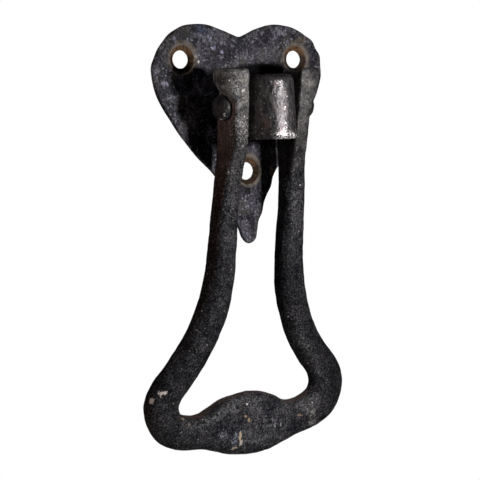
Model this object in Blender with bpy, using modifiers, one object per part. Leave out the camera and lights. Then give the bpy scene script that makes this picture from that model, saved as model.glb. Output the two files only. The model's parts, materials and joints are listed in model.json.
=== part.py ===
"""Heart door knocker: a back plate, a riveted pivot lug, and a loop that swings on a pin.

Frame: the back of the plate lies against the door in the plane Y = 0 and the front faces -Y.
+Z is up, and the origin is midway between the two upper screw holes.
"""

import math

import bmesh
import bpy
from mathutils import Matrix, Vector

MM = 0.001
MERGE = 0.00001
GAP = 0.3 * MM  # play between pieces that touch or pass through each other

# Back plate
PLATE_THICKNESS = 1.6 * MM
PLATE_EDGE = 0.45 * MM
OUTLINE_STEPS = 9
NOTCH_Z = 7.3
NOTCH_REACH = 0.8
PLATE_SIDE = (  # mm: x, z, heading in degrees, reach of the handle before and after
    (16.0, 11.8, 0.0, 6.5, 8.6),
    (34.5, -3.6, -91.0, 9.2, 8.4),
    (21.4, -28.9, -130.5, 10.0, 6.0),
    (11.9, -41.3, -122.0, 5.0, 4.0),
    (7.1, -51.0, -104.0, 3.6, 3.6),
    (3.6, -58.6, -101.0, 3.0, 2.3),
)
TIP_Z = -63.0
TIP_REACH = 1.9
TAIL_BEND_TOP = -44.5
TAIL_BEND = math.tan(math.radians(5.3))

# Countersunk screw holes: the middle of each, x and z
SCREW_HOLES = ((-23.3 * MM, 0.0), (23.3 * MM, 0.0), (1.7 * MM, -38.2 * MM))
HOLE_RADIUS = 3.2 * MM
SINK_RADIUS = 4.7 * MM
SINK_DEPTH = 1.3 * MM
ROUND_STEPS = 40  # sides of every round hole, pin and tenon

# Pivot
PIVOT = Vector((0.0, -14.8 * MM, -16.4 * MM))
PIN_RADIUS = 2.5 * MM
HEAD_RADIUS = 4.0 * MM
HEAD_SIDE = 1.1 * MM
HEAD_DOME = 2.2 * MM
DOME_STEPS = 6
BORE_CUT = 60 * MM  # length of the cutters that bore the lug and the ears

# Lug: a D-shaped block between the ears, riveted through the plate by a round tenon
LUG_HALF_WIDTH = 9.2 * MM
LUG_TOP = 10.5 * MM
LUG_BOTTOM = -10.9 * MM
LUG_REACH_TOP = 26.0 * MM
LUG_REACH_BOTTOM = 27.0 * MM
LUG_EDGE = 1.6 * MM
LUG_EDGE_SIDES = 0.4  # share of that rounding on the flanks
EDGE_STEPS = 4
TENON_RADIUS = 4.5 * MM
TENON_BITE = 3.0 * MM  # how far the tenon reaches into the block

# Loop, measured from the pivot
EAR_TOP = 12.6
EAR_EDGE = 1.2
LOOP_SIDE = (  # mm: x, z, half width, half depth, squareness of the section
    (13.35, 12.6, 2.85, 5.8, 6.0),
    (12.95, 0.0, 2.85, 5.25, 6.0),
    (12.4, -12.0, 2.9, 5.0, 4.5),
    (13.5, -20.0, 3.4, 4.5, 2.8),
    (13.75, -28.0, 4.1, 4.3, 2.1),
    (14.0, -45.0, 4.65, 4.7, 2.0),
    (14.9, -60.0, 5.1, 4.9, 2.0),
    (17.8, -70.5, 5.25, 4.9, 2.0),
    (22.2, -79.5, 5.35, 4.9, 2.0),
    (28.0, -87.5, 5.45, 4.9, 2.0),
    (32.8, -94.0, 5.6, 4.9, 2.0),
    (34.7, -99.4, 5.75, 4.9, 2.0),
    (32.2, -105.4, 5.85, 4.9, 2.0),
    (26.0, -108.1, 5.85, 4.9, 2.0),
    (13.0, -108.2, 5.85, 4.9, 2.0),
    (0.0, -108.2, 5.85, 4.9, 2.0),
)
LOOP_DEPTH = (  # mm: height, and how far the middle of the section lies behind the pivot
    (12.6, -2.0),
    (0.0, -0.95),
    (-12.0, 0.5),
    (-28.0, 3.0),
    (-108.2, 9.6),
)
STATION_STEPS = 3
SECTION_STEPS = 24
BULGE_HEIGHT = 5.15
BULGE_REACH = 22.0
CROSSBAR_TOP = -100.0
LEAN_TOP = -18.0
LEAN = 4.7 / 90.2  # sideways drift of the hand-forged arms, per unit of drop
FLARE_FRONT = (3.8, 3.2)  # mm: outward flare of an ear's top, and the height where it starts
FLARE_BACK = (2.6, 6.6)
FLARE_RISE = 4.2


def collection(name):
    group = bpy.data.collections.new(name)
    bpy.context.scene.collection.children.link(group)
    return group


def iron(name, colour, roughness, metallic):
    material = bpy.data.materials.new(name)
    material.use_nodes = True
    shader = material.node_tree.nodes["Principled BSDF"]
    shader.inputs["Base Color"].default_value = (*colour, 1.0)
    shader.inputs["Roughness"].default_value = roughness
    shader.inputs["Metallic"].default_value = metallic
    return material


def add_object(name, mesh, group, material=None):
    obj = bpy.data.objects.new(name, mesh)
    group.objects.link(obj)
    if material:
        mesh.materials.append(material)
    return obj


def hide_cutter(obj):
    obj.hide_render = True
    obj.display_type = "WIRE"
    return obj


def apply_boolean(obj, cutter, operation):
    modifier = obj.modifiers.new(cutter.name, "BOOLEAN")
    modifier.operation = operation
    modifier.solver = "EXACT"
    modifier.object = cutter


def shade(mesh, angle):
    mesh.shade_smooth()
    mesh.set_sharp_from_angle(angle=math.radians(angle))


def loft(name, rings):
    """Skin a row of rings that have equally many points, with a flat face over each end."""
    body = bmesh.new()
    rows = [[body.verts.new(point) for point in ring] for ring in rings]
    for near, far in zip(rows, rows[1:]):
        for index in range(len(near)):
            body.faces.new((near[index - 1], near[index], far[index], far[index - 1]))
    body.faces.new(rows[0])
    body.faces.new(rows[-1])
    bmesh.ops.recalc_face_normals(body, faces=body.faces)
    mesh = bpy.data.meshes.new(name)
    body.to_mesh(mesh)
    body.free()
    return mesh


def turned(name, profile, group):
    """Turn a profile of (radius, height) points, given from top to bottom, about local Z."""
    mesh = bpy.data.meshes.new(name)
    points = [(radius, 0.0, height) for radius, height in profile]
    mesh.from_pydata(points, [(i, i + 1) for i in range(len(points) - 1)], [])
    obj = add_object(name, mesh, group)
    screw = obj.modifiers.new("turn", "SCREW")
    screw.axis = "Z"
    screw.steps = ROUND_STEPS
    screw.render_steps = ROUND_STEPS
    screw.use_merge_vertices = True
    screw.merge_threshold = MERGE
    return obj


# ---------------------------------------------------------------- back plate

def bent(x, z):
    """The tail of the plate bends a little to one side below its root."""
    return (x + TAIL_BEND * max(0.0, TAIL_BEND_TOP - z)) * MM, z * MM


def outline_points():
    """Bezier points of the heart, clockwise from the notch, each as (before, point, after)."""
    notch = ((-NOTCH_REACH, NOTCH_Z), (0.0, NOTCH_Z), (NOTCH_REACH, NOTCH_Z))
    side = []
    for x, z, heading, before, after in PLATE_SIDE:
        along_x = math.cos(math.radians(heading))
        along_z = math.sin(math.radians(heading))
        side.append((
            (x - before * along_x, z - before * along_z),
            (x, z),
            (x + after * along_x, z + after * along_z),
        ))
    tip = ((TIP_REACH, TIP_Z), (0.0, TIP_Z), (-TIP_REACH, TIP_Z))
    mirrored = [tuple((-px, pz) for px, pz in reversed(point)) for point in reversed(side)]
    return [notch] + side + [tip] + mirrored


def heart_mesh():
    curve = bpy.data.curves.new("heart_outline", "CURVE")
    curve.dimensions = "2D"
    curve.fill_mode = "BOTH"
    curve.resolution_u = OUTLINE_STEPS
    curve.extrude = PLATE_THICKNESS / 2 - PLATE_EDGE
    curve.bevel_depth = PLATE_EDGE
    curve.bevel_resolution = 1
    curve.offset = -PLATE_EDGE
    points = outline_points()
    spline = curve.splines.new("BEZIER")
    spline.bezier_points.add(len(points) - 1)
    for knot, (before, middle, after) in zip(spline.bezier_points, points):
        knot.handle_left_type = "FREE"
        knot.handle_right_type = "FREE"
        knot.handle_left = (*bent(*before), 0.0)
        knot.co = (*bent(*middle), 0.0)
        knot.handle_right = (*bent(*after), 0.0)
    spline.use_cyclic_u = True
    guide = bpy.data.objects.new("heart_outline", curve)
    bpy.context.scene.collection.objects.link(guide)
    guide.location.y = -PLATE_THICKNESS / 2
    guide.rotation_euler.x = math.pi / 2
    bpy.context.view_layer.update()
    mesh = bpy.data.meshes.new_from_object(guide.evaluated_get(bpy.context.evaluated_depsgraph_get()))
    body = bmesh.new()
    body.from_mesh(mesh)
    bmesh.ops.remove_doubles(body, verts=body.verts, dist=MERGE)
    body.to_mesh(mesh)
    body.free()
    placement = guide.matrix_world.copy()
    bpy.data.objects.remove(guide)
    return mesh, placement


def make_backplate(group, cutters):
    mesh, placement = heart_mesh()
    plate = add_object("backplate", mesh, group, iron("plate_iron", (0.085, 0.08, 0.09), 0.5, 0.6))
    plate.matrix_world = placement
    profile = (
        (0.0, GAP),
        (SINK_RADIUS + GAP, GAP),
        (HOLE_RADIUS, -SINK_DEPTH),
        (HOLE_RADIUS, -2 * PLATE_THICKNESS),
        (0.0, -2 * PLATE_THICKNESS),
    )
    for number, (x, z) in enumerate(SCREW_HOLES, start=1):
        cutter = hide_cutter(turned(f"countersink_{number}", profile, cutters))
        cutter.location = (x, -PLATE_THICKNESS, z)
        cutter.rotation_euler.x = math.pi / 2
        apply_boolean(plate, cutter, "DIFFERENCE")
    tenon_hole = hide_cutter(rod("tenon_hole", TENON_RADIUS + GAP, 4 * PLATE_THICKNESS, cutters))
    tenon_hole.location.z = PIVOT.z
    tenon_hole.rotation_euler.x = math.pi / 2
    apply_boolean(plate, tenon_hole, "DIFFERENCE")
    shade(mesh, 35)
    return plate


# ----------------------------------------------------------------- pivot lug

def rod(name, radius, length, group):
    """A plain cylinder along local Z, centred on its origin."""
    body = bmesh.new()
    bmesh.ops.create_cone(
        body, cap_ends=True, segments=ROUND_STEPS, radius1=radius, radius2=radius, depth=length
    )
    mesh = bpy.data.meshes.new(name)
    body.to_mesh(mesh)
    body.free()
    return add_object(name, mesh, group)


def lug_section(z):
    """One level of the lug: straight flanks from the plate and a half-round nose."""
    share = (LUG_TOP - z) / (LUG_TOP - LUG_BOTTOM)
    into_edge = max(0.0, LUG_EDGE - min(LUG_TOP - z, z - LUG_BOTTOM))
    inset = LUG_EDGE - math.sqrt(max(0.0, LUG_EDGE ** 2 - into_edge ** 2))
    half_width = LUG_HALF_WIDTH - LUG_EDGE_SIDES * inset
    reach = LUG_REACH_TOP + share * (LUG_REACH_BOTTOM - LUG_REACH_TOP) - inset
    base = -PLATE_THICKNESS - GAP
    nose_centre = -(reach - LUG_HALF_WIDTH)
    points = [Vector((half_width, base, z)), Vector((half_width, (base + nose_centre) / 2, z))]
    for step in range(SECTION_STEPS + 1):
        angle = math.pi * step / SECTION_STEPS
        across = half_width * math.cos(angle)
        points.append(Vector((across, nose_centre - LUG_HALF_WIDTH * math.sin(angle), z)))
    points.append(Vector((-half_width, (base + nose_centre) / 2, z)))
    points.append(Vector((-half_width, base, z)))
    return points


def lug_levels():
    """Heights of the lug's sections, closer together where its edges are rounded."""
    turns = [math.sin(math.pi / 2 * step / EDGE_STEPS) for step in range(EDGE_STEPS + 1)]
    upper = [LUG_TOP - LUG_EDGE * (1 - turn) for turn in reversed(turns)]
    lower = [LUG_BOTTOM + LUG_EDGE * (1 - turn) for turn in turns]
    return upper + [(LUG_TOP + LUG_BOTTOM) / 2] + lower


def make_lug(group, cutters):
    levels = lug_levels()
    mesh = loft("pivot_lug", [lug_section(z) for z in levels])
    mesh.transform(Matrix.Translation((0.0, -PIVOT.y, 0.0)))
    lug = add_object("pivot_lug", mesh, group, iron("lug_steel", (0.3, 0.29, 0.29), 0.3, 0.95))
    lug.location = PIVOT
    tenon_length = PLATE_THICKNESS + TENON_BITE
    tenon = hide_cutter(rod("tenon", TENON_RADIUS, tenon_length, cutters))
    tenon.location = (0.0, -GAP - tenon_length / 2, PIVOT.z)
    tenon.rotation_euler.x = math.pi / 2
    apply_boolean(lug, tenon, "UNION")
    bore = hide_cutter(rod("lug_bore", PIN_RADIUS + GAP, BORE_CUT, cutters))
    bore.location = PIVOT
    bore.rotation_euler.y = math.pi / 2
    apply_boolean(lug, bore, "DIFFERENCE")
    shade(mesh, 35)
    return lug


# -------------------------------------------------------------- knocker loop

def between(before, start, end, after, share):
    """Catmull-Rom interpolation of one value between start and end."""
    bend = 2 * before - 5 * start + 4 * end - after
    twist = 3 * (start - end) + after - before
    return start + 0.5 * share * (end - before + share * (bend + share * twist))


def smooth_stations(stations):
    """Add evenly spaced stations between the given ones, on a smooth path through them all."""
    padded = (stations[0],) + tuple(stations) + (stations[-1],)
    rows = []
    for number in range(1, len(padded) - 2):
        around = padded[number - 1:number + 3]
        for step in range(STATION_STEPS):
            share = step / STATION_STEPS
            rows.append(tuple(between(*values, share) for values in zip(*around)))
    rows.append(tuple(stations[-1]))
    return rows


def depth_at(z):
    """How far the loop lies behind the pivot at a height: it leans in towards the door."""
    for (z_high, depth_high), (z_low, depth_low) in zip(LOOP_DEPTH, LOOP_DEPTH[1:]):
        depth = depth_high + (z_high - z) / (z_high - z_low) * (depth_low - depth_high)
        if z >= z_low:
            break
    return depth


def flare(z, depth_share):
    """Outward flare of an ear, at a height and at a share of its depth from front to back."""
    width = FLARE_FRONT[0] + depth_share * (FLARE_BACK[0] - FLARE_FRONT[0])
    start = FLARE_FRONT[1] + depth_share * (FLARE_BACK[1] - FLARE_FRONT[1])
    share = min(1.0, max(0.0, (z - start) / FLARE_RISE))
    return width * share * share * (3 - 2 * share)


def loop_ring(centre, outward, half_width, half_depth, squareness, side):
    """One section of the loop: a circle or a squared-off oval, across and through the loop."""
    cx, cz = centre
    ring = []
    for step in range(SECTION_STEPS):
        angle = 2 * math.pi * (step + 0.5) / SECTION_STEPS
        across = math.copysign(abs(math.cos(angle)) ** (2 / squareness), math.cos(angle))
        through = math.copysign(abs(math.sin(angle)) ** (2 / squareness), math.sin(angle))
        out = half_width * across
        if across > 0:
            out += flare(cz, (through + 1) / 2) * across
        x = side * (cx + out * outward[0])
        z = cz + out * outward[1]
        x -= LEAN * max(0.0, LEAN_TOP - z)
        ring.append(Vector((x, depth_at(z) + half_depth * through, z)) * MM)
    return ring


def half_loop(side):
    """Rings from the top of one ear down to the middle of the crossbar."""
    rows = smooth_stations(LOOP_SIDE)
    rings = []
    top = rows[0]
    for step in range(EDGE_STEPS):
        turn = math.pi / 2 * step / EDGE_STEPS
        inset = EAR_EDGE * (1 - math.sin(turn))
        z = EAR_TOP - EAR_EDGE * (1 - math.cos(turn))
        rings.append(loop_ring((top[0], z), (1, 0), top[2] - inset, top[3] - inset, top[4], side))
    for number in range(1, len(rows)):
        x, z, half_width, half_depth, squareness = rows[number]
        before = rows[number - 1]
        after = rows[min(number + 1, len(rows) - 1)]
        heading = Vector((after[0] - before[0], after[1] - before[1])).normalized()
        if number == len(rows) - 1:
            heading = Vector((-1.0, 0.0))
        outward = (-heading.y, heading.x)
        if abs(x) < BULGE_REACH and z < CROSSBAR_TOP:
            half_width += BULGE_HEIGHT * (1 - (x / BULGE_REACH) ** 2) ** 1.5
        rings.append(loop_ring((x, z), outward, half_width, half_depth, squareness, side))
    return rings


def make_loop(group, cutters):
    left = half_loop(-1)
    right = half_loop(1)
    mesh = loft("knocker_loop", left + right[-2::-1])
    loop = add_object("knocker_loop", mesh, group, iron("loop_iron", (0.045, 0.043, 0.045), 0.42, 0.7))
    loop.location = PIVOT
    eye = hide_cutter(rod("ear_eyes", PIN_RADIUS + GAP, BORE_CUT, cutters))
    eye.location = PIVOT
    eye.rotation_euler.y = math.pi / 2
    apply_boolean(loop, eye, "DIFFERENCE")
    shade(mesh, 40)
    return loop


# ----------------------------------------------------------------- pivot pin

def make_pin(group):
    seat = (LOOP_SIDE[1][0] + LOOP_SIDE[1][2]) * MM + GAP
    shoulder = seat + HEAD_SIDE
    dome = []
    for step in range(DOME_STEPS + 1):
        turn = math.pi / 2 * (1 - step / DOME_STEPS)
        dome.append((HEAD_RADIUS * math.cos(turn), shoulder + HEAD_DOME * math.sin(turn)))
    dome[0] = (0.0, dome[0][1])
    upper = dome + [(HEAD_RADIUS, seat), (PIN_RADIUS, seat)]
    lower = [(radius, -height) for radius, height in reversed(upper)]
    pin = turned("pivot_pin", upper + lower, group)
    pin.data.materials.append(iron("pin_iron", (0.06, 0.055, 0.055), 0.4, 0.8))
    pin.location = PIVOT
    pin.rotation_euler.y = math.pi / 2
    pin.modifiers["turn"].use_smooth_shade = True
    return pin


def main():
    for obj in list(bpy.data.objects):
        bpy.data.objects.remove(obj)
    knocker = collection("door_knocker")
    cutters = collection("cutters")
    make_backplate(knocker, cutters)
    make_lug(knocker, cutters)
    make_loop(knocker, cutters)
    make_pin(knocker)


main()
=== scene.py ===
"""Looks of the heart door knocker: forged meshes and worn-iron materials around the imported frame.

Frame: the door is the plane Y = 0, the front faces -Y and +Z is up. Everything is in metres, but
the shape tables are in millimetres, and those of the loop and the lug are measured from the pivot.
"""

import json
import math

import bmesh
import bpy
import numpy as np
from mathutils import Matrix, Vector, noise


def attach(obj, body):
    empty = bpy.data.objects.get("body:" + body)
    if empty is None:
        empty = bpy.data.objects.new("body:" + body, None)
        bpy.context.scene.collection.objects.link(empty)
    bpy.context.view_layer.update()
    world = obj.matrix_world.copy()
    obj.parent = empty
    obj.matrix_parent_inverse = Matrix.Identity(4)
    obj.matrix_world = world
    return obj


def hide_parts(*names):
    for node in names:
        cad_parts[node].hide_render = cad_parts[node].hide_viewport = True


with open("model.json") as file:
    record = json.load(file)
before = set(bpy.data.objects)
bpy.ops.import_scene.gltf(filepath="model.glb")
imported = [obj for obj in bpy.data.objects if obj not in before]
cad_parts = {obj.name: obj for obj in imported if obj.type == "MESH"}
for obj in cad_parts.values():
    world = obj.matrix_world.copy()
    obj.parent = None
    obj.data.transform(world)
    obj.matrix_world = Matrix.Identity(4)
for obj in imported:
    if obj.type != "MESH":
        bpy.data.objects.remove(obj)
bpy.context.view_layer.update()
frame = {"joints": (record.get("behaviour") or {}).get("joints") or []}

MM = 0.001
GAP = 0.3  # play between pieces that are pressed or riveted together
PIVOT = Vector(frame["joints"][0]["pos_m"])

# Back plate
PLATE_THICKNESS = 1.6
OUTLINE = (  # the hand-cut edge: x and z, clockwise and ending at the notch
    (3.0, 8.6), (5.9, 9.9), (9.0, 10.9), (12.2, 11.7), (15.5, 12.0), (18.7, 11.7),
    (22.1, 11.1), (25.3, 9.9), (28.2, 8.2), (31.1, 6.5), (32.6, 3.8), (34.4, 1.0), (34.5, -2.4),
    (34.7, -5.7), (33.8, -8.9), (32.7, -11.9), (31.2, -14.8), (29.7, -17.7), (28.0, -20.4),
    (26.2, -23.1), (24.2, -25.6), (22.3, -28.1), (20.3, -30.6), (18.3, -33.1), (16.3, -35.6),
    (14.2, -38.0), (12.5, -40.7), (11.5, -43.9), (9.8, -46.6), (8.3, -49.5), (7.5, -52.7),
    (5.9, -55.6), (5.2, -58.7), (4.3, -61.9), (1.5, -63.2), (-0.9, -61.3), (-2.3, -58.0),
    (-3.7, -55.0), (-4.7, -52.3), (-5.6, -49.3), (-6.8, -46.4), (-8.4, -43.7), (-10.4, -40.6),
    (-12.9, -37.6), (-15.4, -35.3), (-17.9, -33.0), (-20.1, -30.6), (-22.2, -28.1),
    (-24.3, -25.6), (-26.2, -23.1), (-28.0, -20.4), (-29.9, -17.7), (-31.6, -15.0),
    (-33.1, -12.1), (-34.1, -9.0), (-34.7, -5.7), (-34.8, -2.4), (-33.6, 0.5), (-32.1, 3.4),
    (-30.0, 5.9), (-27.8, 8.2), (-25.0, 9.9), (-22.0, 11.2), (-18.7, 11.7), (-15.5, 11.8),
    (-12.2, 11.5), (-9.1, 10.6), (-6.0, 9.6), (-3.0, 8.5), (0.0, 7.6),
)
OUTLINE_STEPS = 5
PLATE_EDGE = (  # inset and height of the edge, from the back to the front
    (0.4, 0.0), (0.08, 0.15), (0.0, 0.4), (0.0, 1.15), (0.1, 1.4), (0.45, PLATE_THICKNESS),
)
SCREW_HOLES = ((-23.3, 0.0), (23.3, 0.0), (1.7, -38.2))
COUNTERSINK = (  # radius and depth below the front
    (0.0, -0.6), (5.5, -0.6), (4.8, 0.0), (4.3, 0.35), (2.95, 1.2), (2.95, 3.0), (0.0, 3.0),
)
COLLAR = (5.25, 0.5, 0.28)  # radius, spread and height of the worn lip around a countersink
PLATE_VOXEL = 0.22
PLATE_HAMMER = ((9.0, 0.16, 2), (2.6, 0.06, 3))  # here and below: grain size, height, octaves

# Lug
LUG_HALF_WIDTH = 9.2
LUG_TOP = 10.5
LUG_BOTTOM = -10.9
LUG_REACH = (26.0, 27.0)  # from the door to the nose, at the top and at the bottom
LUG_NOSE = 11.2  # depth of the rounded part
LUG_SKEW = 0.2  # how far the nose leans to +X
LUG_NOSE_STEPS = 48
LUG_TOP_EDGE = 2.4
LUG_BOTTOM_EDGE = 1.3
LUG_SIDE_EDGES = (0.55, 0.4)  # share of the two roundings that the flanks take
LUG_EDGE_STEPS = 8
LUG_VOXEL = 0.22
LUG_HAMMER = ((7.0, 0.1, 2), (1.6, 0.06, 3))
LUG_FOOT = (2.5, 3.0)  # from the door to the first hammer marks, and until they are at full height
TENON_RADIUS = 4.5
TENON = (
    (0.0, 0.0), (TENON_RADIUS - 0.6, 0.0), (TENON_RADIUS, 0.5), (TENON_RADIUS, 5.0), (0.0, 5.0),
)
SOCKET_REACH = 4.0

# Pin
PIN_RADIUS = 2.5
BORE_REACH = 30.0
HEAD_SEAT = 16.1
HEAD_PLAIN = 0.5  # height of a head's foot, which takes no hammer marks
HEAD = (  # radius and height above the seat
    (0.0, 3.3), (1.5, 3.15), (2.8, 2.75), (3.7, 2.1), (4.25, 1.3), (4.4, 0.6), (4.2, 0.0),
)
PIN_VOXEL = 0.2
PIN_HAMMER = ((2.4, 0.14, 2), (0.8, 0.04, 2))

# Loop: x, z, half width, half depth and squareness of the section, from an ear's top down
LEFT_ARM = (
    (-13.25, 12.6, 2.95, 5.8, 5.0), (-12.9, 0.0, 2.95, 5.7, 6.0), (-12.45, -12.0, 2.95, 5.7, 5.0),
    (-13.4, -20.0, 3.35, 4.7, 4.0), (-14.3, -28.0, 3.75, 4.1, 3.2), (-15.1, -37.0, 4.2, 4.2, 2.8),
    (-15.65, -47.0, 4.6, 4.6, 2.5), (-16.55, -56.0, 5.0, 4.8, 2.3), (-18.5, -64.7, 5.4, 4.9, 2.1),
    (-22.0, -73.1, 5.65, 4.9, 2.0), (-26.8, -80.9, 5.65, 4.9, 2.0), (-32.6, -88.1, 5.7, 4.9, 2.0),
    (-37.0, -93.1, 5.85, 4.9, 2.0), (-38.9, -98.0, 6.05, 4.9, 2.0), (-37.3, -103.6, 6.0, 4.9, 2.0),
    (-33.7, -106.7, 6.0, 4.9, 2.0), (-28.5, -108.1, 5.9, 4.9, 2.0), (-23.5, -108.35, 6.2, 4.9, 2.0),
    (-19.0, -108.25, 7.75, 4.95, 2.0), (-14.0, -108.0, 9.7, 5.0, 2.0),
    (-9.3, -108.0, 10.5, 5.0, 2.0), (-4.7, -108.15, 11.1, 5.0, 2.0),
)
RIGHT_ARM = (
    (13.35, 12.6, 2.85, 5.8, 5.0), (12.95, 0.0, 2.85, 5.7, 6.0), (12.35, -12.0, 2.9, 5.7, 5.0),
    (12.3, -18.0, 3.1, 4.8, 4.0), (12.65, -25.0, 3.7, 4.2, 3.4), (12.5, -34.0, 4.1, 4.1, 2.9),
    (12.15, -43.0, 4.5, 4.3, 2.6), (12.05, -52.0, 4.85, 4.6, 2.3), (12.5, -61.0, 5.25, 4.9, 2.2),
    (14.35, -69.3, 5.5, 4.9, 2.1), (17.5, -77.8, 5.7, 4.9, 2.0), (22.05, -85.4, 5.75, 4.9, 2.0),
    (27.2, -92.0, 6.1, 4.9, 2.0), (29.25, -97.7, 6.65, 4.9, 2.0), (27.9, -103.0, 6.7, 4.9, 2.0),
    (24.5, -106.1, 6.55, 4.9, 2.0), (19.4, -108.0, 6.35, 4.9, 2.0), (14.6, -108.8, 6.5, 4.9, 2.0),
    (9.8, -109.3, 7.65, 4.95, 2.0), (4.8, -109.0, 9.7, 5.0, 2.0), (0.1, -108.5, 10.8, 5.0, 2.0),
    (-4.7, -108.15, 11.1, 5.0, 2.0),
)
LOOP_DEPTH = (  # z, and how far the middle of the section lies behind the pivot
    (-108.2, 9.6), (-28.0, 3.0), (-12.0, 1.3), (0.0, -0.5), (12.6, -2.0),
)
STATION_STEPS = 8
SECTION_STEPS = 64
EAR_EDGE = 1.2
EAR_EDGE_STEPS = 6
FLARE_FRONT = (4.8, 0.8)  # reach of the flare at an ear's front, and the height where it starts
FLARE_BACK = (3.3, 4.8)
FLARE_RISE = 5.6
FLARE_SQUARENESS = 2.3
INNER_SHARPNESS = 2.2  # how many times squarer an ear's inner half is
INNER_FADE = (-26.0, -12.0)  # heights between which that sets in
LOOP_VOXEL = 0.33
LOOP_HAMMER = ((8.0, 0.15, 2), (3.4, 0.09, 2), (1.3, 0.04, 2))


# ------------------------------------------------------------------ mesh tools

TURN_STEPS = 48
AXIS_RADIUS = 0.02  # a turned body's profile stops this far from its axis
SOFTNESS = 0.5
HAMMER_SHIFT = (7.3, 3.1)  # how far each seed moves the hammer marks' noise


def spline(rows, steps, closed=False):
    """Points on the Catmull-Rom curve through the rows, with so many steps between two rows."""
    rows = np.array(rows, float)
    if closed:
        padded = np.vstack([rows[-1:], rows, rows[:2]])
    else:
        padded = np.vstack([rows[:1], rows, rows[-1:]])
    shares = np.arange(steps)[:, None] / steps
    pieces = []
    for before, start, end, after in zip(padded, padded[1:], padded[2:], padded[3:]):
        bend = 2 * before - 5 * start + 4 * end - after
        twist = 3 * (start - end) + after - before
        pieces.append(start + 0.5 * shares * (end - before + shares * (bend + shares * twist)))
    if not closed:
        pieces.append(rows[-1:])
    return np.vstack(pieces)


def skin(name, rings):
    """A closed body through a row of rings of equally many points, in millimetres."""
    body = bmesh.new()
    rows = [[body.verts.new(Vector(point) * MM) for point in ring] for ring in rings]
    for near, far in zip(rows, rows[1:]):
        for index in range(len(near)):
            body.faces.new((near[index - 1], near[index], far[index], far[index - 1]))
    body.faces.new(rows[0])
    body.faces.new(rows[-1])
    bmesh.ops.recalc_face_normals(body, faces=body.faces)
    mesh = bpy.data.meshes.new(name)
    body.to_mesh(mesh)
    body.free()
    return mesh


def turned(name, profile):
    """A closed body from a profile of (radius, height), turned about local Z."""
    angles = [2 * math.pi * step / TURN_STEPS for step in range(TURN_STEPS)]
    rings = []
    for radius, height in profile:
        radius = max(radius, AXIS_RADIUS)
        rings.append([(radius * math.cos(a), radius * math.sin(a), height) for a in angles])
    return skin(name, rings)


def rod(name, radius, reach):
    """A round bar along local Z that reaches equally far to both sides of its origin."""
    return turned(name, ((0.0, -reach), (radius, -reach), (radius, reach), (0.0, reach)))


def place(mesh, axis, spot):
    """Turn local Z of the mesh to the axis and move its origin to the spot, in metres."""
    turn = Vector((0, 0, 1)).rotation_difference(Vector(axis)).to_matrix().to_4x4()
    mesh.transform(Matrix.Translation(spot) @ turn)
    return mesh


def add_object(name, mesh):
    obj = bpy.data.objects.new(name, mesh)
    bpy.context.scene.collection.objects.link(obj)
    return obj


def forge(name, mesh, cuts, voxel, smoothing=3, joins=()):
    """Join and cut the solids, then turn the result into one even mesh with softened edges."""
    rough = add_object("rough_" + name, mesh)
    helpers = []
    for operation, meshes in (("UNION", joins), ("DIFFERENCE", cuts)):
        for number, other in enumerate(meshes):
            helper = add_object(f"{operation}_{number}", other)
            helpers.append(helper)
            modifier = rough.modifiers.new("cut", "BOOLEAN")
            modifier.operation = operation
            modifier.solver = "EXACT"
            modifier.object = helper
    remesh = rough.modifiers.new("even", "REMESH")
    remesh.mode = "VOXEL"
    remesh.voxel_size = voxel * MM
    smooth = rough.modifiers.new("soften", "SMOOTH")
    smooth.factor = SOFTNESS
    smooth.iterations = smoothing
    graph = bpy.context.evaluated_depsgraph_get()
    result = bpy.data.meshes.new_from_object(rough.evaluated_get(graph))
    result.name = name
    for obj in [rough] + helpers:
        old = obj.data
        bpy.data.objects.remove(obj)
        bpy.data.meshes.remove(old)
    result.shade_smooth()
    return add_object(name, result)


def vertex_arrays(obj):
    count = len(obj.data.vertices)
    places = np.empty(count * 3)
    normals = np.empty(count * 3)
    obj.data.vertices.foreach_get("co", places)
    obj.data.vertices.foreach_get("normal", normals)
    return places.reshape(-1, 3), normals.reshape(-1, 3)


def hammer(obj, layers, seed, share=None):
    """Raise and sink the surface by layers of noise, each (grain size, height, octaves) in mm.

    The share, a function of the places in millimetres, scales the relief.
    """
    places, normals = vertex_arrays(obj)
    lift = np.zeros(len(places))
    for size, height, octaves in layers:
        shift = Vector((seed * HAMMER_SHIFT[0], seed * HAMMER_SHIFT[1], size))
        lift += height * np.array(
            [noise.fractal(Vector(p) / (size * MM) + shift, 1.0, 2.0, octaves) for p in places]
        )
    if share is not None:
        lift *= share(places / MM)
    obj.data.vertices.foreach_set("co", (places + normals * (lift * MM)[:, None]).ravel())
    obj.data.update()


# ------------------------------------------------------------------ back plate

def make_plate():
    line = spline(OUTLINE, OUTLINE_STEPS, closed=True)
    ahead = np.roll(line, -1, axis=0) - np.roll(line, 1, axis=0)
    ahead /= np.linalg.norm(ahead, axis=1)[:, None]
    inward = np.stack([ahead[:, 1], -ahead[:, 0]], axis=1)
    rings = []
    for inset, depth in PLATE_EDGE:
        points = line + inset * inward
        rings.append([(x, -depth, z) for x, z in points])
    cuts = []
    for number, (x, z) in enumerate(SCREW_HOLES):
        sink = turned(f"sink_{number}", COUNTERSINK)
        cuts.append(place(sink, (0, 1, 0), Vector((x, -PLATE_THICKNESS, z)) * MM))
    socket = rod("socket", TENON_RADIUS + GAP, SOCKET_REACH)
    cuts.append(place(socket, (0, 1, 0), (0, 0, PIVOT.z)))
    plate = forge("heart_plate", skin("plate", rings), cuts, PLATE_VOXEL)
    hammer(plate, PLATE_HAMMER, 1, lambda p: np.clip(-p[:, 1] / PLATE_THICKNESS, 0, 1) ** 2)
    raise_collars(plate)
    return plate


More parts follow.
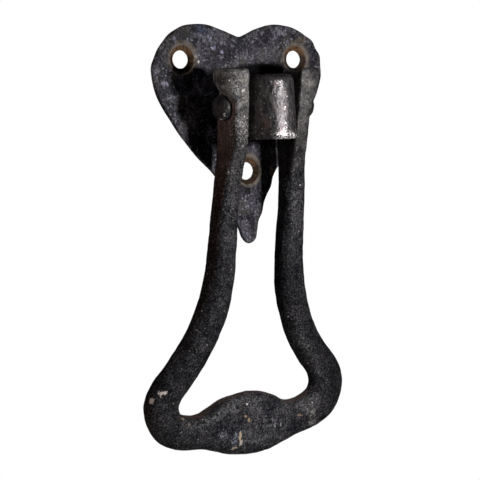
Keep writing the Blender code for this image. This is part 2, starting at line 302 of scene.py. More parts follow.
def raise_collars(plate):
    """Push up the worn lip that the countersink left around each screw hole."""
    radius, spread, height = COLLAR
    places, normals = vertex_arrays(plate)
    facing = np.clip(-normals[:, 1], 0, 1)
    for x, z in SCREW_HOLES:
        away = np.hypot(places[:, 0] / MM - x, places[:, 2] / MM - z)
        lift = height * MM * np.exp(-((away - radius) / spread) ** 2) * facing
        places[:, 1] -= lift
    plate.data.vertices.foreach_set("co", places.ravel())
    plate.data.update()


# ------------------------------------------------------------------ pivot lug

def round_off(gap, edge):
    """How far a rounded edge draws in at this gap from the end face."""
    return edge - math.sqrt(max(0.0, edge ** 2 - max(0.0, edge - gap) ** 2))


def lug_ring(z):
    """The D-shaped section of the lug at a height above the pivot."""
    share = (LUG_TOP - z) / (LUG_TOP - LUG_BOTTOM)
    top = round_off(LUG_TOP - z, LUG_TOP_EDGE)
    bottom = round_off(z - LUG_BOTTOM, LUG_BOTTOM_EDGE)
    width = LUG_HALF_WIDTH - LUG_SIDE_EDGES[0] * top - LUG_SIDE_EDGES[1] * bottom
    reach = LUG_REACH[0] + share * (LUG_REACH[1] - LUG_REACH[0]) - top - bottom
    base = -PLATE_THICKNESS - GAP
    nose = LUG_NOSE * width / LUG_HALF_WIDTH
    height = z + PIVOT.z / MM
    ring = [(width, base, height)]
    for step in range(LUG_NOSE_STEPS + 1):
        angle = math.pi * step / LUG_NOSE_STEPS
        x = width * math.cos(angle) + LUG_SKEW * math.sin(angle)
        ring.append((x, nose - reach - nose * math.sin(angle), height))
    ring.append((-width, base, height))
    return ring


def make_lug():
    turns = [math.sin(math.pi / 2 * step / LUG_EDGE_STEPS) for step in range(LUG_EDGE_STEPS + 1)]
    levels = [LUG_TOP - LUG_TOP_EDGE * (1 - turn) for turn in reversed(turns)]
    levels += [LUG_BOTTOM + LUG_BOTTOM_EDGE * (1 - turn) for turn in turns]
    block = skin("lug", [lug_ring(z) for z in levels])
    tenon = place(turned("tenon", TENON), (0, -1, 0), (0, -GAP * MM, PIVOT.z))
    bore = place(rod("bore", PIN_RADIUS + GAP, BORE_REACH), (1, 0, 0), PIVOT)
    lug = forge("lug_block", block, [bore], LUG_VOXEL, joins=[tenon])
    start, rise = LUG_FOOT
    hammer(lug, LUG_HAMMER, 2, lambda p: np.clip((-p[:, 1] - start) / rise, 0, 1))
    return lug


# ------------------------------------------------------------------ knocker loop

def depth_at(z):
    heights, depths = zip(*LOOP_DEPTH)
    return np.interp(z, heights, depths)


def flare(z, back_share):
    """How far an ear's top spreads outward, from its front (0) to its back (1)."""
    width = FLARE_FRONT[0] + back_share * (FLARE_BACK[0] - FLARE_FRONT[0])
    start = FLARE_FRONT[1] + back_share * (FLARE_BACK[1] - FLARE_FRONT[1])
    share = min(1.0, max(0.0, (z - start) / FLARE_RISE))
    return width * share * share * (3 - 2 * share)


def loop_ring(row, heading, inset=0.0):
    """A section of the loop, whose outer side lies towards the heading, in x and z."""
    x, z, half_width, half_depth, squareness = row
    spread = flare(z, 0.0) / FLARE_FRONT[0]
    outer_squareness = squareness + spread * (FLARE_SQUARENESS - squareness)
    inner_squareness = squareness * float(np.interp(z, INNER_FADE, (1.0, INNER_SHARPNESS)))
    ring = []
    for step in range(SECTION_STEPS):
        angle = 2 * math.pi * (step + 0.5) / SECTION_STEPS
        power = 2 / (outer_squareness if math.cos(angle) > 0 else inner_squareness)
        across = math.copysign(abs(math.cos(angle)) ** power, math.cos(angle))
        through = math.copysign(abs(math.sin(angle)) ** power, math.sin(angle))
        out = (half_width - inset) * across
        if across > 0:
            out += flare(z, (through + 1) / 2) * across
        y = depth_at(z) + (half_depth - inset) * through
        ring.append(
            (x + out * heading[0], y + PIVOT.y / MM, z + out * heading[1] + PIVOT.z / MM)
        )
    return ring


def arm_rings(stations, side):
    """Rings from an ear's top to the middle of the crossbar."""
    rows = spline(stations, STATION_STEPS)
    rings = []
    for step in range(EAR_EDGE_STEPS):
        turn = math.pi / 2 * step / EAR_EDGE_STEPS
        top = rows[0].copy()
        top[1] -= EAR_EDGE * (1 - math.cos(turn))
        rings.append(loop_ring(top, (side, 0.0), EAR_EDGE * (1 - math.sin(turn))))
    for number in range(1, len(rows)):
        if rows[number][1] > stations[0][1] - EAR_EDGE:
            continue
        ahead = rows[min(number + 1, len(rows) - 1)][:2] - rows[number - 1][:2]
        ahead /= np.linalg.norm(ahead)
        if number == len(rows) - 1:
            ahead = np.array((-side, 0.0))
        rings.append(loop_ring(rows[number], (-side * ahead[1], side * ahead[0])))
    return rings


def make_loop():
    left = arm_rings(LEFT_ARM, -1.0)
    right = arm_rings(RIGHT_ARM, 1.0)
    eye = place(rod("eye", PIN_RADIUS + GAP, BORE_REACH), (1, 0, 0), PIVOT)
    loop = forge("loop_forging", skin("loop", left + right[-2::-1]), [eye], LOOP_VOXEL)
    hammer(loop, LOOP_HAMMER, 3)
    return loop


# ------------------------------------------------------------------ pin

def make_pin():
    upper = [(radius, HEAD_SEAT + height) for radius, height in HEAD]
    upper.append((PIN_RADIUS, HEAD_SEAT))
    profile = upper + [(radius, -height) for radius, height in reversed(upper)]
    body = place(turned("pin", profile), (1, 0, 0), PIVOT)
    pin = forge("peened_pin", body, [], PIN_VOXEL, smoothing=2)
    foot = HEAD_SEAT + HEAD_PLAIN
    hammer(pin, PIN_HAMMER, 4, lambda p: np.clip(abs(p[:, 0]) - foot, 0, 1))
    return pin


# ------------------------------------------------------------------ materials

class Nodes:
    """Short names for the nodes that a worn metal is built from."""

    def __init__(self, name):
        self.material = bpy.data.materials.new(name)
        self.material.use_nodes = True
        self.tree = self.material.node_tree
        self.shader = self.tree.nodes["Principled BSDF"]
        place_node = self.tree.nodes.new("ShaderNodeTexCoord")
        self.place = place_node.outputs["Object"]
        self.normal = place_node.outputs["Normal"]
        self.wave = None

    def link(self, value, socket):
        """Join another socket to this one, or set a number, vector or colour on it."""
        if isinstance(value, bpy.types.NodeSocket):
            self.tree.links.new(value, socket)
        elif socket.type == "RGBA":
            socket.default_value = (*value, 1.0)
        else:
            socket.default_value = value

    def grid(self, size, stretch=(1, 1, 1)):
        """The place, counted in cells of so many millimetres."""
        mapping = self.tree.nodes.new("ShaderNodeMapping")
        mapping.inputs["Scale"].default_value = [1 / (size * MM * s) for s in stretch]
        self.link(self.place, mapping.inputs["Vector"])
        return mapping.outputs[0]

    def noise(self, size, detail=3.0, roughness=0.55, stretch=(1, 1, 1)):
        """Noise from 0 to 1 whose grain is so many millimetres."""
        texture = self.tree.nodes.new("ShaderNodeTexNoise")
        texture.inputs["Scale"].default_value = 1.0
        texture.inputs["Detail"].default_value = detail
        texture.inputs["Roughness"].default_value = roughness
        self.link(self.grid(size, stretch), texture.inputs["Vector"])
        return texture.outputs["Fac"]

    def band(self, value, low, high, start=0.0, end=1.0):
        """Map the value smoothly from low..high to start..end."""
        node = self.tree.nodes.new("ShaderNodeMapRange")
        node.interpolation_type = "SMOOTHSTEP"
        self.link(value, node.inputs["Value"])
        node.inputs["From Min"].default_value = low
        node.inputs["From Max"].default_value = high
        node.inputs["To Min"].default_value = start
        node.inputs["To Max"].default_value = end
        return node.outputs["Result"]

    def math(self, operation, first, second=0.0):
        node = self.tree.nodes.new("ShaderNodeMath")
        node.operation = operation
        self.link(first, node.inputs[0])
        self.link(second, node.inputs[1])
        return node.outputs[0]

    def times(self, first, second):
        return self.math("MULTIPLY", first, second)

    def plus(self, first, second):
        return self.math("ADD", first, second)

    def mix(self, share, first, second, blend="MIX"):
        """The second colour laid over the first by the share."""
        node = self.tree.nodes.new("ShaderNodeMix")
        node.data_type = "RGBA"
        node.blend_type = blend
        self.link(share, node.inputs[0])
        first_colour, second_colour = [socket for socket in node.inputs if socket.type == "RGBA"]
        self.link(first, first_colour)
        self.link(second, second_colour)
        return next(socket for socket in node.outputs if socket.type == "RGBA")

    def axis(self, vector, name):
        node = self.tree.nodes.new("ShaderNodeSeparateXYZ")
        self.link(vector, node.inputs[0])
        return node.outputs[name]

    def edge(self, low, high):
        """1 on worn convex edges, 0 on flats and hollows."""
        node = self.tree.nodes.new("ShaderNodeNewGeometry")
        return self.band(node.outputs["Pointiness"], low, high)

    def near(self, spot, inner, outer, ragged=0.0, stretch=(1, 1, 1)):
        """1 inside a ragged, stretched ball around the spot, in mm, and 0 outside it."""
        vector = self.place
        for operation, values in (
            ("SUBTRACT", [value * MM for value in spot]),
            ("DIVIDE", [value * MM for value in stretch]),
        ):
            step = self.tree.nodes.new("ShaderNodeVectorMath")
            step.operation = operation
            self.link(vector, step.inputs[0])
            step.inputs[1].default_value = values
            vector = step.outputs[0]
        length = self.tree.nodes.new("ShaderNodeVectorMath")
        length.operation = "LENGTH"
        self.link(vector, length.inputs[0])
        distance = length.outputs["Value"]
        if ragged:
            if self.wave is None:
                self.wave = self.math("SUBTRACT", self.noise(1.1, 3.0, 0.6), 0.5)
            distance = self.plus(distance, self.times(self.wave, 2 * ragged))
        return self.band(distance, inner, outer, 1.0, 0.0)

    def marks(self, colour, rows):
        """Lay ragged marks over the colour: each has a spot, a radius, a stretch and a colour."""
        for spot, radius, stretch, tint in rows:
            blur = SHARP_BLUR if radius < SMALL_MARK else SOFT_BLUR
            inner, outer = (1 - blur) * radius, (1 + blur) * radius
            mark = self.near(spot, inner, outer, RAGGEDNESS * radius, stretch)
            colour = self.mix(mark, colour, tint)
        return colour

    def dots(self, size, radius, share):
        """1 in round flecks of a radius in mm, in that share of the cells of a size in mm."""
        cells = self.tree.nodes.new("ShaderNodeTexVoronoi")
        cells.inputs["Scale"].default_value = 1.0
        self.link(self.grid(size), cells.inputs["Vector"])
        inside = self.band(cells.outputs["Distance"], 0.6 * radius / size, radius / size, 1.0, 0.0)
        chosen = self.math("LESS_THAN", self.axis(cells.outputs["Color"], "X"), share)
        return self.times(inside, chosen)

    def shade(self, colour, value):
        """The colour times a value, which darkens it below 1 and lightens it above."""
        return self.mix(1.0, colour, value, "MULTIPLY")

    def bump(self, layers):
        """Chain bump nodes of (height socket, relief in mm)."""
        normal = None
        for height, relief in layers:
            node = self.tree.nodes.new("ShaderNodeBump")
            node.inputs["Distance"].default_value = relief * MM
            self.link(height, node.inputs["Height"])
            if normal:
                self.link(normal, node.inputs["Normal"])
            normal = node.outputs["Normal"]
        self.link(normal, self.shader.inputs["Normal"])

    def finish(self, colour, roughness, metallic, specular):
        self.link(colour, self.shader.inputs["Base Color"])
        self.link(roughness, self.shader.inputs["Roughness"])
        self.link(metallic, self.shader.inputs["Metallic"])
        self.link(specular, self.shader.inputs["Specular IOR Level"])
        return self.material


# Marks: the spot in mm, the radius, the stretch along X, Y and Z, and the colour
SMALL_MARK = 1.1
SHARP_BLUR = 0.2
SOFT_BLUR = 0.7
RAGGEDNESS = 2.2
ROUND = (1, 1, 1)
UPRIGHT = (0.6, 1, 1.6)
FLAT = (1.5, 1, 0.7)
PLATE_MARKS_AND_PAINTED_LIGHT = (
    ((-15.2, -1.6, 10.1), 1.9, FLAT, (0.032, 0.046, 0.08)),
    ((-18.6, -1.6, 10.0), 1.2, FLAT, (0.008, 0.008, 0.012)),
    ((-21.1, -1.6, 8.0), 1.6, FLAT, (0.018, 0.018, 0.018)),
    ((-13.1, -1.6, 10.7), 1.0, FLAT, (0.009, 0.009, 0.013)),
    ((-10.9, -1.6, 3.8), 0.75, ROUND, (0.23, 0.23, 0.32)),
    ((-7.6, -1.6, 2.4), 0.75, ROUND, (0.22, 0.22, 0.3)),
    ((-12.0, -1.6, 7.0), 0.6, ROUND, (0.22, 0.22, 0.3)),
    ((-26.1, -1.6, 6.8), 0.7, ROUND, (0.15, 0.15, 0.19)),
    ((-30.3, -1.6, -8.1), 1.0, FLAT, (0.26, 0.25, 0.32)),
    ((-28.2, -1.6, -12.7), 1.3, FLAT, (0.2, 0.2, 0.26)),
    ((-26.9, -1.6, -17.2), 1.2, UPRIGHT, (0.17, 0.17, 0.22)),
    ((-31.5, -1.6, -4.0), 1.6, UPRIGHT, (0.014, 0.013, 0.018)),
    ((-32.0, -1.6, -11.0), 1.6, UPRIGHT, (0.014, 0.013, 0.018)),
    # Painted shadow: near-black on the plate behind the left arm's inner edge, below the lug.
    ((-10.6, -1.6, -33.0), 2.6, UPRIGHT, (0.006, 0.006, 0.008)),
    ((-28.5, -1.6, -16.0), 3.0, UPRIGHT, (0.016, 0.015, 0.021)),
    ((-32.5, -1.6, 0.5), 1.8, ROUND, (0.014, 0.013, 0.018)),
    ((30.5, -1.6, -3.0), 2.0, UPRIGHT, (0.018, 0.017, 0.022)),
    ((26.5, -1.6, 6.8), 1.3, FLAT, (0.09, 0.072, 0.052)),
    ((3.0, -1.6, 4.5), 2.2, FLAT, (0.02, 0.019, 0.024)),
    ((17.0, -1.6, 9.5), 1.6, FLAT, (0.15, 0.145, 0.175)),
    ((11.8, -1.2, -38.5), 1.2, UPRIGHT, (0.3, 0.17, 0.11)),
    # Painted highlights: two bright glints on the right rim of the left screw hole.
    ((-18.0, -1.8, 0.9), 0.4, ROUND, (0.95, 0.92, 0.88)),
    ((-17.1, -1.8, -0.9), 0.4, ROUND, (0.95, 0.92, 0.88)),
)
LOOP_STAINS = (
    ((-14.0, -10.0, -125.5), 3.4, FLAT, (0.006, 0.007, 0.014)),
    ((-21.0, -9.0, -118.5), 2.4, FLAT, (0.008, 0.008, 0.013)),
    ((-1.9, -9.3, -130.0), 2.2, FLAT, (0.085, 0.084, 0.09)),
    ((-12.6, -9.7, -129.0), 1.7, UPRIGHT, (0.12, 0.125, 0.165)),
    ((-17.7, -10.1, -126.0), 1.2, ROUND, (0.14, 0.14, 0.16)),
    ((19.9, -10.2, -123.4), 1.4, ROUND, (0.19, 0.18, 0.175)),
    ((21.2, -9.2, -127.5), 1.5, FLAT, (0.19, 0.185, 0.18)),
    ((9.0, -13.0, -43.0), 1.3, UPRIGHT, (0.1, 0.1, 0.105)),
    ((-12.5, -21.5, -8.0), 1.8, FLAT, (0.15, 0.138, 0.125)),
    ((-15.0, -21.5, -6.0), 1.4, ROUND, (0.06, 0.055, 0.052)),
    ((13.5, -21.5, -9.0), 1.6, FLAT, (0.13, 0.125, 0.12)),
)
LOOP_CHIPS_AND_GLINT = (
    ((-10.6, -10.1, -127.3), 0.9, UPRIGHT, (0.62, 0.48, 0.33)),
    ((-9.9, -9.1, -130.3), 0.8, UPRIGHT, (0.62, 0.56, 0.48)),
    ((-11.9, -8.7, -131.6), 0.8, FLAT, (0.45, 0.38, 0.28)),
    ((-8.1, -10.0, -121.0), 0.5, ROUND, (0.4, 0.27, 0.16)),
    ((-6.8, -10.2, -122.6), 0.5, ROUND, (0.4, 0.27, 0.16)),
    ((3.0, -10.2, -124.1), 0.5, UPRIGHT, (0.2, 0.2, 0.23)),
    ((3.9, -10.2, -126.0), 0.45, UPRIGHT, (0.34, 0.33, 0.35)),
    ((6.3, -10.1, -126.4), 0.4, UPRIGHT, (0.42, 0.41, 0.42)),
    ((14.6, -10.0, -124.0), 0.6, FLAT, (0.28, 0.2, 0.14)),
    ((20.8, -9.6, -120.4), 0.4, ROUND, (0.9, 0.88, 0.85)),
    ((-6.6, -8.8, -117.3), 0.35, ROUND, (0.8, 0.78, 0.75)),
    ((-32.2, -8.3, -118.7), 0.6, FLAT, (0.32, 0.24, 0.18)),
    ((-30.3, -9.2, -120.8), 0.5, UPRIGHT, (0.3, 0.23, 0.18)),
    ((-40.6, -10.5, -108.5), 0.9, FLAT, (0.95, 0.84, 0.77)),
    ((-41.3, -10.5, -108.9), 0.7, ROUND, (0.95, 0.84, 0.77)),
    ((-43.9, -8.5, -111.1), 0.85, ROUND, (0.95, 0.84, 0.77)),
    # Painted highlight: a pale glint on the left ear's front.
    ((-13.0, -21.6, -11.0), 0.7, ROUND, (0.45, 0.43, 0.41)),
    ((-16.3, -16.5, -37.5), 0.5, ROUND, (0.36, 0.29, 0.25)),
)
# Painted highlights: two glints on the lower rim of the left pin head.
PIN_PAINTED_GLINTS = (
    ((-18.0, -15.3, -20.4), 0.55, ROUND, (0.62, 0.58, 0.56)),
    ((-17.9, -17.9, -19.5), 0.55, UPRIGHT, (0.62, 0.58, 0.56)),
)


# Colours, by what they stand for
PLATE_TINTS = {
    "scale": (0.015, 0.013, 0.02), "patina": (0.069, 0.065, 0.081), "earth": (0.066, 0.061, 0.053),
    "crust": (0.14, 0.138, 0.17), "pitch": (0.008, 0.008, 0.013), "lilac": (0.21, 0.21, 0.27),
    # The last colour on the next line is a painted shadow for the plate just above the lug.
    "pale": (0.34, 0.33, 0.37), "dust": (0.15, 0.145, 0.19), "painted_lug_shadow": (0.005, 0.005, 0.006),
    "collar": (0.165, 0.14, 0.112), "soot": (0.011, 0.006, 0.004), "rust": (0.05, 0.025, 0.012),
    # The orange on the next line is rust, painted lighter for the well walls that face the lamp.
    "lit_orange_rust": (0.15, 0.078, 0.038), "edge": (0.17, 0.14, 0.125),
}
LUG_TINTS = {
    "dull": (0.055, 0.053, 0.055), "bare": (0.135, 0.126, 0.131), "pit": (0.035, 0.033, 0.034),
    "blush": (0.12, 0.075, 0.07), "pale": (0.42, 0.4, 0.41), "rust": (0.22, 0.12, 0.07),
    # The next colour is a painted highlight for the lower rim.
    "painted_glint": (0.95, 0.92, 0.92),
}
LOOP_TINTS = {
    "black": (0.011, 0.0108, 0.013), "satin": (0.035, 0.0335, 0.038),
    "worn_dark": (0.016, 0.0155, 0.021), "worn": (0.077, 0.074, 0.08),
    "pitch": (0.006, 0.006, 0.011), "grey_dark": (0.031, 0.0295, 0.031),
    "grey": (0.09, 0.085, 0.085), "bare": (0.125, 0.115, 0.109),
    "rust_dark": (0.03, 0.019, 0.016), "rust": (0.07, 0.046, 0.04), "crest": (0.11, 0.07, 0.058),
    "dust": (0.2, 0.197, 0.205), "pale": (0.46, 0.42, 0.38), "frost": (0.36, 0.35, 0.34),
}
PIN_TINTS = {
    "black": (0.012, 0.0115, 0.013), "dull": (0.036, 0.033, 0.034), "edge": (0.08, 0.075, 0.075),
}


def plate_material():
    """Dark patina with lilac and pale flecks, a painted shadow above the lug, and rust in the wells
    painted lighter on their upper walls; some of the marks are painted glints or painted shade.
    """
    n = Nodes("plate_patina")
    tint = PLATE_TINTS
    mottle = n.noise(7.0, 5.0, 0.6)
    blotch = n.noise(4.5, 4.0, 0.6)
    grain = n.noise(0.8, 2.0, 0.65)
    crust = n.noise(1.7, 3.0, 0.65)
    colour = n.mix(n.band(mottle, 0.4, 0.61), tint["scale"], tint["patina"])
    earth = n.band(n.noise(12.0, 2.0), 0.5, 0.6, 0.0, 0.5)
    colour = n.mix(earth, colour, tint["earth"])
    colour = n.mix(n.band(crust, 0.54, 0.7), colour, tint["crust"])
    colour = n.mix(n.band(blotch, 0.44, 0.36), colour, tint["pitch"])
    # Marks and stains, among them painted glints and a painted shadow.
    colour = n.marks(colour, PLATE_MARKS_AND_PAINTED_LIGHT)
    colour = n.shade(colour, n.band(grain, 0.3, 0.7, 0.3, 1.75))
    flecks = n.times(n.dots(1.3, 0.45, 0.45), n.band(mottle, 0.44, 0.58))
    colour = n.mix(flecks, colour, tint["lilac"])
    colour = n.mix(n.dots(2.1, 0.3, 0.4), colour, tint["pale"])
    colour = n.mix(n.dots(0.9, 0.28, 0.3), colour, tint["dust"])
    front = n.band(n.axis(n.place, "Y"), -0.6 * MM, -1.1 * MM)
    # Painted shadow: near-black on the front just above the lug, where the lug and the right ear
    # cast shadows; the specular is nearly dropped there too.
    painted_lug_shadow = n.times(n.near((8.0, -1.6, -4.6), 4.5, 9.0, 1.2, (1.8, 1, 0.5)), front)
    colour = n.mix(painted_lug_shadow, colour, tint["painted_lug_shadow"])
    for x, z in SCREW_HOLES:
        collar = n.near((x + 0.3, -1.6, z + 0.3), 5.0, 6.4, 1.0)
        collar = n.times(collar, n.band(crust, 0.36, 0.56, 0.4, 0.9))
        colour = n.mix(collar, colour, tint["collar"])
        rust = n.mix(n.band(grain, 0.35, 0.65), tint["soot"], tint["rust"])
        # Partly rust, partly painted light: the downward-facing upper wall of each well gets a
        # lighter orange, painted as lit.
        facing_down = n.band(n.axis(n.normal, "Z"), -0.05, -0.4)
        rust = n.mix(n.times(facing_down, n.band(grain, 0.3, 0.6)), rust, tint["lit_orange_rust"])
        well = n.near((x, -0.2, z), 4.5, 5.0, 0.4)
        colour = n.mix(n.times(well, 0.95), colour, rust)
    colour = n.mix(n.times(n.edge(0.52, 0.58), 0.6), colour, tint["edge"])
    n.bump(((mottle, 0.2), (crust, 0.2), (grain, 0.16)))
    roughness = n.band(grain, 0.3, 0.7, 0.66, 0.4)
    return n.finish(colour, roughness, 0.0, n.band(painted_lug_shadow, 0.0, 1.0, 0.14, 0.01))


def lug_material():
    """Steel rubbed bare, streaked and pitted, with painted glints along the lower rim."""
    n = Nodes("lug_burnish")
    tint = LUG_TINTS
    streaks = n.noise(0.9, 4.0, 0.6, stretch=(1, 1, 3))
    pits = n.noise(0.6, 3.0, 0.6)
    colour = n.mix(n.band(streaks, 0.35, 0.65), tint["dull"], tint["bare"])
    colour = n.mix(n.band(pits, 0.54, 0.66, 0.0, 0.8), colour, tint["pit"])
    colour = n.mix(n.band(n.noise(3.0, 3.0), 0.52, 0.66, 0.0, 0.4), colour, tint["blush"])
    colour = n.mix(n.dots(1.0, 0.33, 0.3), colour, tint["pale"])
    spot = n.near((-6.4, -24.2, -21.9), 1.0, 2.2, 1.6)
    colour = n.mix(n.times(spot, 0.4), colour, tint["rust"])
    # Painted highlights: bright specks along the lower rim stand for glints, and the rim is made
    # less metallic there so the colour shows.
    rim = n.band(n.axis(n.place, "Z"), -24.2 * MM, -26.0 * MM)
    painted_glint = n.times(rim, n.band(pits, 0.46, 0.54))
    painted_glint = n.times(painted_glint, n.near((2.8, -25.5, -27.0), 4.8, 7.5))
    colour = n.mix(painted_glint, colour, tint["painted_glint"])
    n.bump(((n.noise(2.4, 3.0), 0.09), (pits, 0.13)))
    roughness = n.band(n.plus(streaks, n.times(pits, 0.6)), 0.6, 0.98, 0.2, 0.44)
    middle = n.near((1.0, -26.0, -17.5), 2.0, 7.0, 1.5)
    roughness = n.plus(roughness, n.times(middle, 0.12))
    return n.finish(colour, roughness, n.band(painted_glint, 0.0, 1.0, 0.76, 0.3), 0.5)


def loop_material():
    """Satin black arms and crossbar, and bare grey ears with rust down the left arm's outer side."""
    n = Nodes("loop_black")
    tint = LOOP_TINTS
    height = n.axis(n.place, "Z")
    across = n.axis(n.place, "X")
    mottle = n.noise(6.0, 5.0, 0.65)
    blotch = n.noise(3.4, 4.0, 0.6)
    grain = n.noise(0.58, 2.0, 0.65)

    # Black scale, rubbed thinner on the crossbar
    dark = n.mix(n.band(mottle, 0.35, 0.65), tint["black"], tint["satin"])
    worn = n.mix(n.band(mottle, 0.38, 0.6), tint["worn_dark"], tint["worn"])
    rubbed = n.band(n.plus(height, n.times(blotch, 14 * MM)), -100 * MM, -114 * MM)
    centre = n.near((-1.0, -10.0, -121.0), 0.4, 1.5, 0.0, (18, 30, 12))
    rubbed = n.times(rubbed, n.plus(n.times(centre, 0.65), 0.35))
    dark = n.mix(rubbed, dark, worn)
    dark = n.mix(n.band(blotch, 0.43, 0.35, 0.0, 0.85), dark, tint["pitch"])

    # Bare metal on the ears
    grey = n.mix(n.band(n.noise(3.0, 4.0), 0.38, 0.62), tint["grey_dark"], tint["grey"])
    grey = n.mix(n.band(blotch, 0.5, 0.64, 0.0, 0.8), grey, tint["bare"])
    grey = n.shade(grey, n.band(across, 0.0, 10 * MM, 1.0, 0.78))
    grey = n.shade(grey, n.band(height, -28 * MM, -15 * MM, 0.55, 1.0))
    grey = n.shade(grey, n.band(height, -13 * MM, -7 * MM, 1.0, 0.82))
    border = n.plus(height, n.times(mottle, 12 * MM))
    bare = n.band(border, -38 * MM, -21 * MM)
    colour = n.mix(bare, dark, grey)

    # Rust down the left arm's outer side
    outer = n.times(n.band(n.axis(n.normal, "X"), -0.66, -0.9), n.band(across, -5 * MM, -9 * MM))
    below_ear = n.band(height, -10 * MM, -17 * MM)
    fading = n.band(height, -75 * MM, -45 * MM, 0.3, 0.9)
    striation = n.noise(1.0, 3.0, 0.6, stretch=(1, 1, 6))
    rust = n.mix(n.band(striation, 0.35, 0.65), tint["rust_dark"], tint["rust"])
    colour = n.mix(n.times(outer, n.times(below_ear, fading)), colour, rust)
    colour = n.marks(colour, LOOP_STAINS)

    # Specks, coarse on the scale and fine on the bare metal
    coarse = n.band(grain, 0.43, 0.74, 0.42, 3.2)
    fine = n.band(grain, 0.32, 0.68, 0.62, 1.3)
    colour = n.shade(colour, n.mix(bare, coarse, fine))
    crest = n.band(n.axis(n.normal, "Z"), 0.7, 0.95)
    crest = n.times(crest, n.band(height, -105 * MM, -112 * MM))
    colour = n.mix(n.times(crest, 0.6), colour, tint["crest"])
    colour = n.mix(n.dots(1.1, 0.23, 0.5), colour, tint["dust"])
    colour = n.mix(n.dots(3.1, 0.33, 0.35), colour, tint["pale"])
    frost = n.times(n.band(grain, 0.56, 0.62), n.near((-12.0, -20.0, -23.5), 2.5, 7.0, 1.0))
    colour = n.mix(n.times(frost, 0.6), colour, tint["frost"])
    # Paint chips and specks, and one painted highlight on the left ear.
    colour = n.marks(colour, LOOP_CHIPS_AND_GLINT)

    n.bump(((mottle, 0.22), (blotch, 0.2), (grain, 0.13)))
    roughness = n.band(grain, 0.3, 0.7, 0.62, 0.4)
    gloss = n.times(n.band(grain, 0.34, 0.66, 0.08, 0.52), n.band(blotch, 0.4, 0.5, 0.6, 1.1))
    return n.finish(colour, roughness, 0.0, gloss)


def pin_material():
    """Dull black heads with worn rims and painted glints on the left head's lower rim."""
    n = Nodes("pin_peened")
    tint = PIN_TINTS
    mottle = n.noise(2.5, 4.0, 0.6)
    grain = n.noise(0.6, 2.0, 0.6)
    colour = n.mix(n.band(mottle, 0.35, 0.65), tint["black"], tint["dull"])
    colour = n.shade(colour, n.band(grain, 0.3, 0.7, 0.5, 1.5))
    colour = n.mix(n.edge(0.52, 0.6), colour, tint["edge"])
    colour = n.marks(colour, PIN_PAINTED_GLINTS)
    n.bump(((mottle, 0.15), (grain, 0.1)))
    return n.finish(colour, n.band(mottle, 0.3, 0.7, 0.55, 0.4), 0.2, 0.3)


# ------------------------------------------------------------------ stage

CAMERA_AZIMUTH = -34.0
CAMERA_ELEVATION = 4.87
CAMERA_ROLL = -1.81
CAMERA_DISTANCE = 473.9 * MM
CAMERA_TARGET = Vector((-2.20, -1.2, -61.75)) * MM
CAMERA_LENS = 103.275
SENSOR = 36.0

WHITE = (1.0, 1.0, 1.0)
NEUTRAL = (1.0, 0.98, 0.97)
AMBIENT_COLOUR = (1.0, 0.97, 0.94)
AMBIENT_STRENGTH = 0.012
FLOOR_GREY = (0.8, 0.8, 0.8)
FLOOR_HALF_SIDE = 6.0
FLOOR_HEIGHT = -0.45
LAMPS = (  # places, sides and reach in millimetres, power in watts, spread in degrees
    dict(name="key", spot=(29, -116, -16), target=(0, 0, -40), side=16, power=0.174, reach=60),
    dict(name="fill", spot=(-1200, -70, -20), target=(0, 0, -50), side=200, power=1.4,
         colour=(1.0, 0.88, 0.8), glossy=False),
    dict(name="ear", spot=(-190, -16, 6), target=(-16, -15, -6), side=16, power=0.0028,
         colour=(1.0, 0.92, 0.85), spread=24, glossy=False),
    dict(name="low", spot=(10, -190, -230), target=(-3, -8, -122), side=40, power=0.0058,
         spread=30),
    dict(name="back", spot=(700, 980, 160), target=(0, 0, -50), side=500, power=0.75,
         colour=(1.0, 0.98, 0.96), spread=34, glossy=False),
)


def outward(azimuth, elevation):
    """Unit vector from the object, with azimuth 0 straight out of the door and 90 to the right."""
    a = math.radians(azimuth)
    e = math.radians(elevation)
    return Vector((math.sin(a) * math.cos(e), -math.cos(a) * math.cos(e), math.sin(e)))


def aim(obj, position, target, roll=0.0):
    """Put the object at the position and turn its -Z to the target, rolled by so many degrees."""
    back = (position - target).normalized()
    side = Vector((0, 0, 1)).cross(back).normalized()
    up = back.cross(side)
    turn = math.radians(roll)
    right = math.cos(turn) * side + math.sin(turn) * up
    above = back.cross(right)
    rotation = Matrix((right, above, back)).transposed().to_4x4()
    obj.matrix_world = Matrix.Translation(position) @ rotation


def make_camera():
    data = bpy.data.cameras.new("camera")
    data.sensor_width = SENSOR
    data.lens = CAMERA_LENS
    data.clip_start = 0.01
    camera = add_object("camera", data)
    position = CAMERA_TARGET + CAMERA_DISTANCE * outward(CAMERA_AZIMUTH, CAMERA_ELEVATION)
    aim(camera, position, CAMERA_TARGET, CAMERA_ROLL)
    bpy.context.scene.camera = camera


def make_lamp(
    name, spot, target, side, power, colour=NEUTRAL, spread=180, glossy=True, reach=0
):
    """A square lamp at a spot, aimed at a target; with a reach, it is softened nearer than that."""
    data = bpy.data.lights.new(name, "AREA")
    data.shape = "SQUARE"
    data.size = side * MM
    data.energy = power
    data.color = colour
    data.spread = math.radians(spread)
    lamp = add_object(name, data)
    lamp.visible_glossy = glossy
    aim(lamp, Vector(spot) * MM, Vector(target) * MM)
    if reach:
        soften_near(data, reach)


def soften_near(data, reach):
    """Keep a lamp from burning out what comes nearer to it than the reach, in millimetres."""
    data.use_nodes = True
    tree = data.node_tree
    falloff = tree.nodes.new("ShaderNodeLightFalloff")
    falloff.inputs["Strength"].default_value = 1.0
    falloff.inputs["Smooth"].default_value = (reach * MM) ** 2
    tree.links.new(falloff.outputs["Quadratic"], tree.nodes["Emission"].inputs["Strength"])


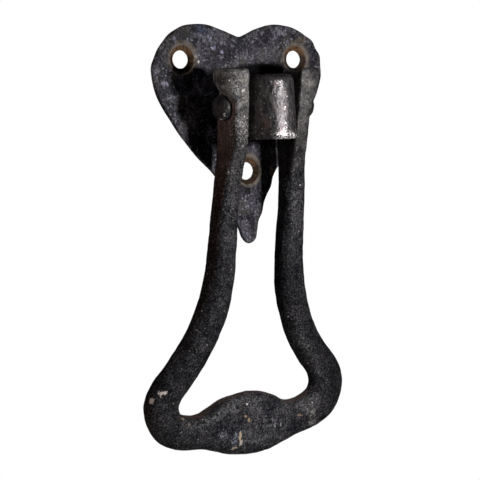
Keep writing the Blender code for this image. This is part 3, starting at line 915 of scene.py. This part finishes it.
def camera_only(tree, lit, shown, output):
    """Send a shader that lights the object to the output, and one that only the camera sees."""
    path = tree.nodes.new("ShaderNodeLightPath")
    mix = tree.nodes.new("ShaderNodeMixShader")
    tree.links.new(path.outputs["Is Camera Ray"], mix.inputs[0])
    tree.links.new(lit.outputs[0], mix.inputs[1])
    tree.links.new(shown.outputs[0], mix.inputs[2])
    tree.links.new(mix.outputs[0], tree.nodes[output].inputs["Surface"])


def make_world():
    world = bpy.data.worlds.new("studio")
    world.use_nodes = True
    tree = world.node_tree
    dim = tree.nodes["Background"]
    dim.inputs["Color"].default_value = (*AMBIENT_COLOUR, 1.0)
    dim.inputs["Strength"].default_value = AMBIENT_STRENGTH
    bright = tree.nodes.new("ShaderNodeBackground")
    bright.inputs["Color"].default_value = (*WHITE, 1.0)
    camera_only(tree, dim, bright, "World Output")
    bpy.context.scene.world = world


def make_floor():
    material = bpy.data.materials.new("pale_floor")
    material.use_nodes = True
    tree = material.node_tree
    tree.nodes.remove(tree.nodes["Principled BSDF"])
    matt = tree.nodes.new("ShaderNodeBsdfDiffuse")
    matt.inputs["Color"].default_value = (*FLOOR_GREY, 1.0)
    glow = tree.nodes.new("ShaderNodeEmission")
    glow.inputs["Color"].default_value = (*WHITE, 1.0)
    camera_only(tree, matt, glow, "Material Output")
    body = bmesh.new()
    bmesh.ops.create_grid(body, x_segments=1, y_segments=1, size=FLOOR_HALF_SIDE)
    mesh = bpy.data.meshes.new("floor")
    body.to_mesh(mesh)
    body.free()
    mesh.transform(Matrix.Translation((0, 0, FLOOR_HEIGHT)))
    mesh.materials.append(material)
    add_object("floor", mesh)


# ------------------------------------------------------------------ assembly

def main():
    for maker, material, node, body, slot in (
        (make_plate, plate_material, "backplate", "plate", "plate_iron"),
        (make_lug, lug_material, "pivot_lug", "plate", "lug_steel"),
        (make_loop, loop_material, "knocker_loop", "knocker", "loop_iron"),
        (make_pin, pin_material, "pivot_pin", "knocker", "pin_iron"),
    ):
        piece = maker()
        piece.data.materials.append(material())
        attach(piece, body)
        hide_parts(node)
    make_world()
    make_floor()
    for lamp in LAMPS:
        make_lamp(**lamp)
    make_camera()
    bpy.context.scene.view_settings.view_transform = "Standard"


main()
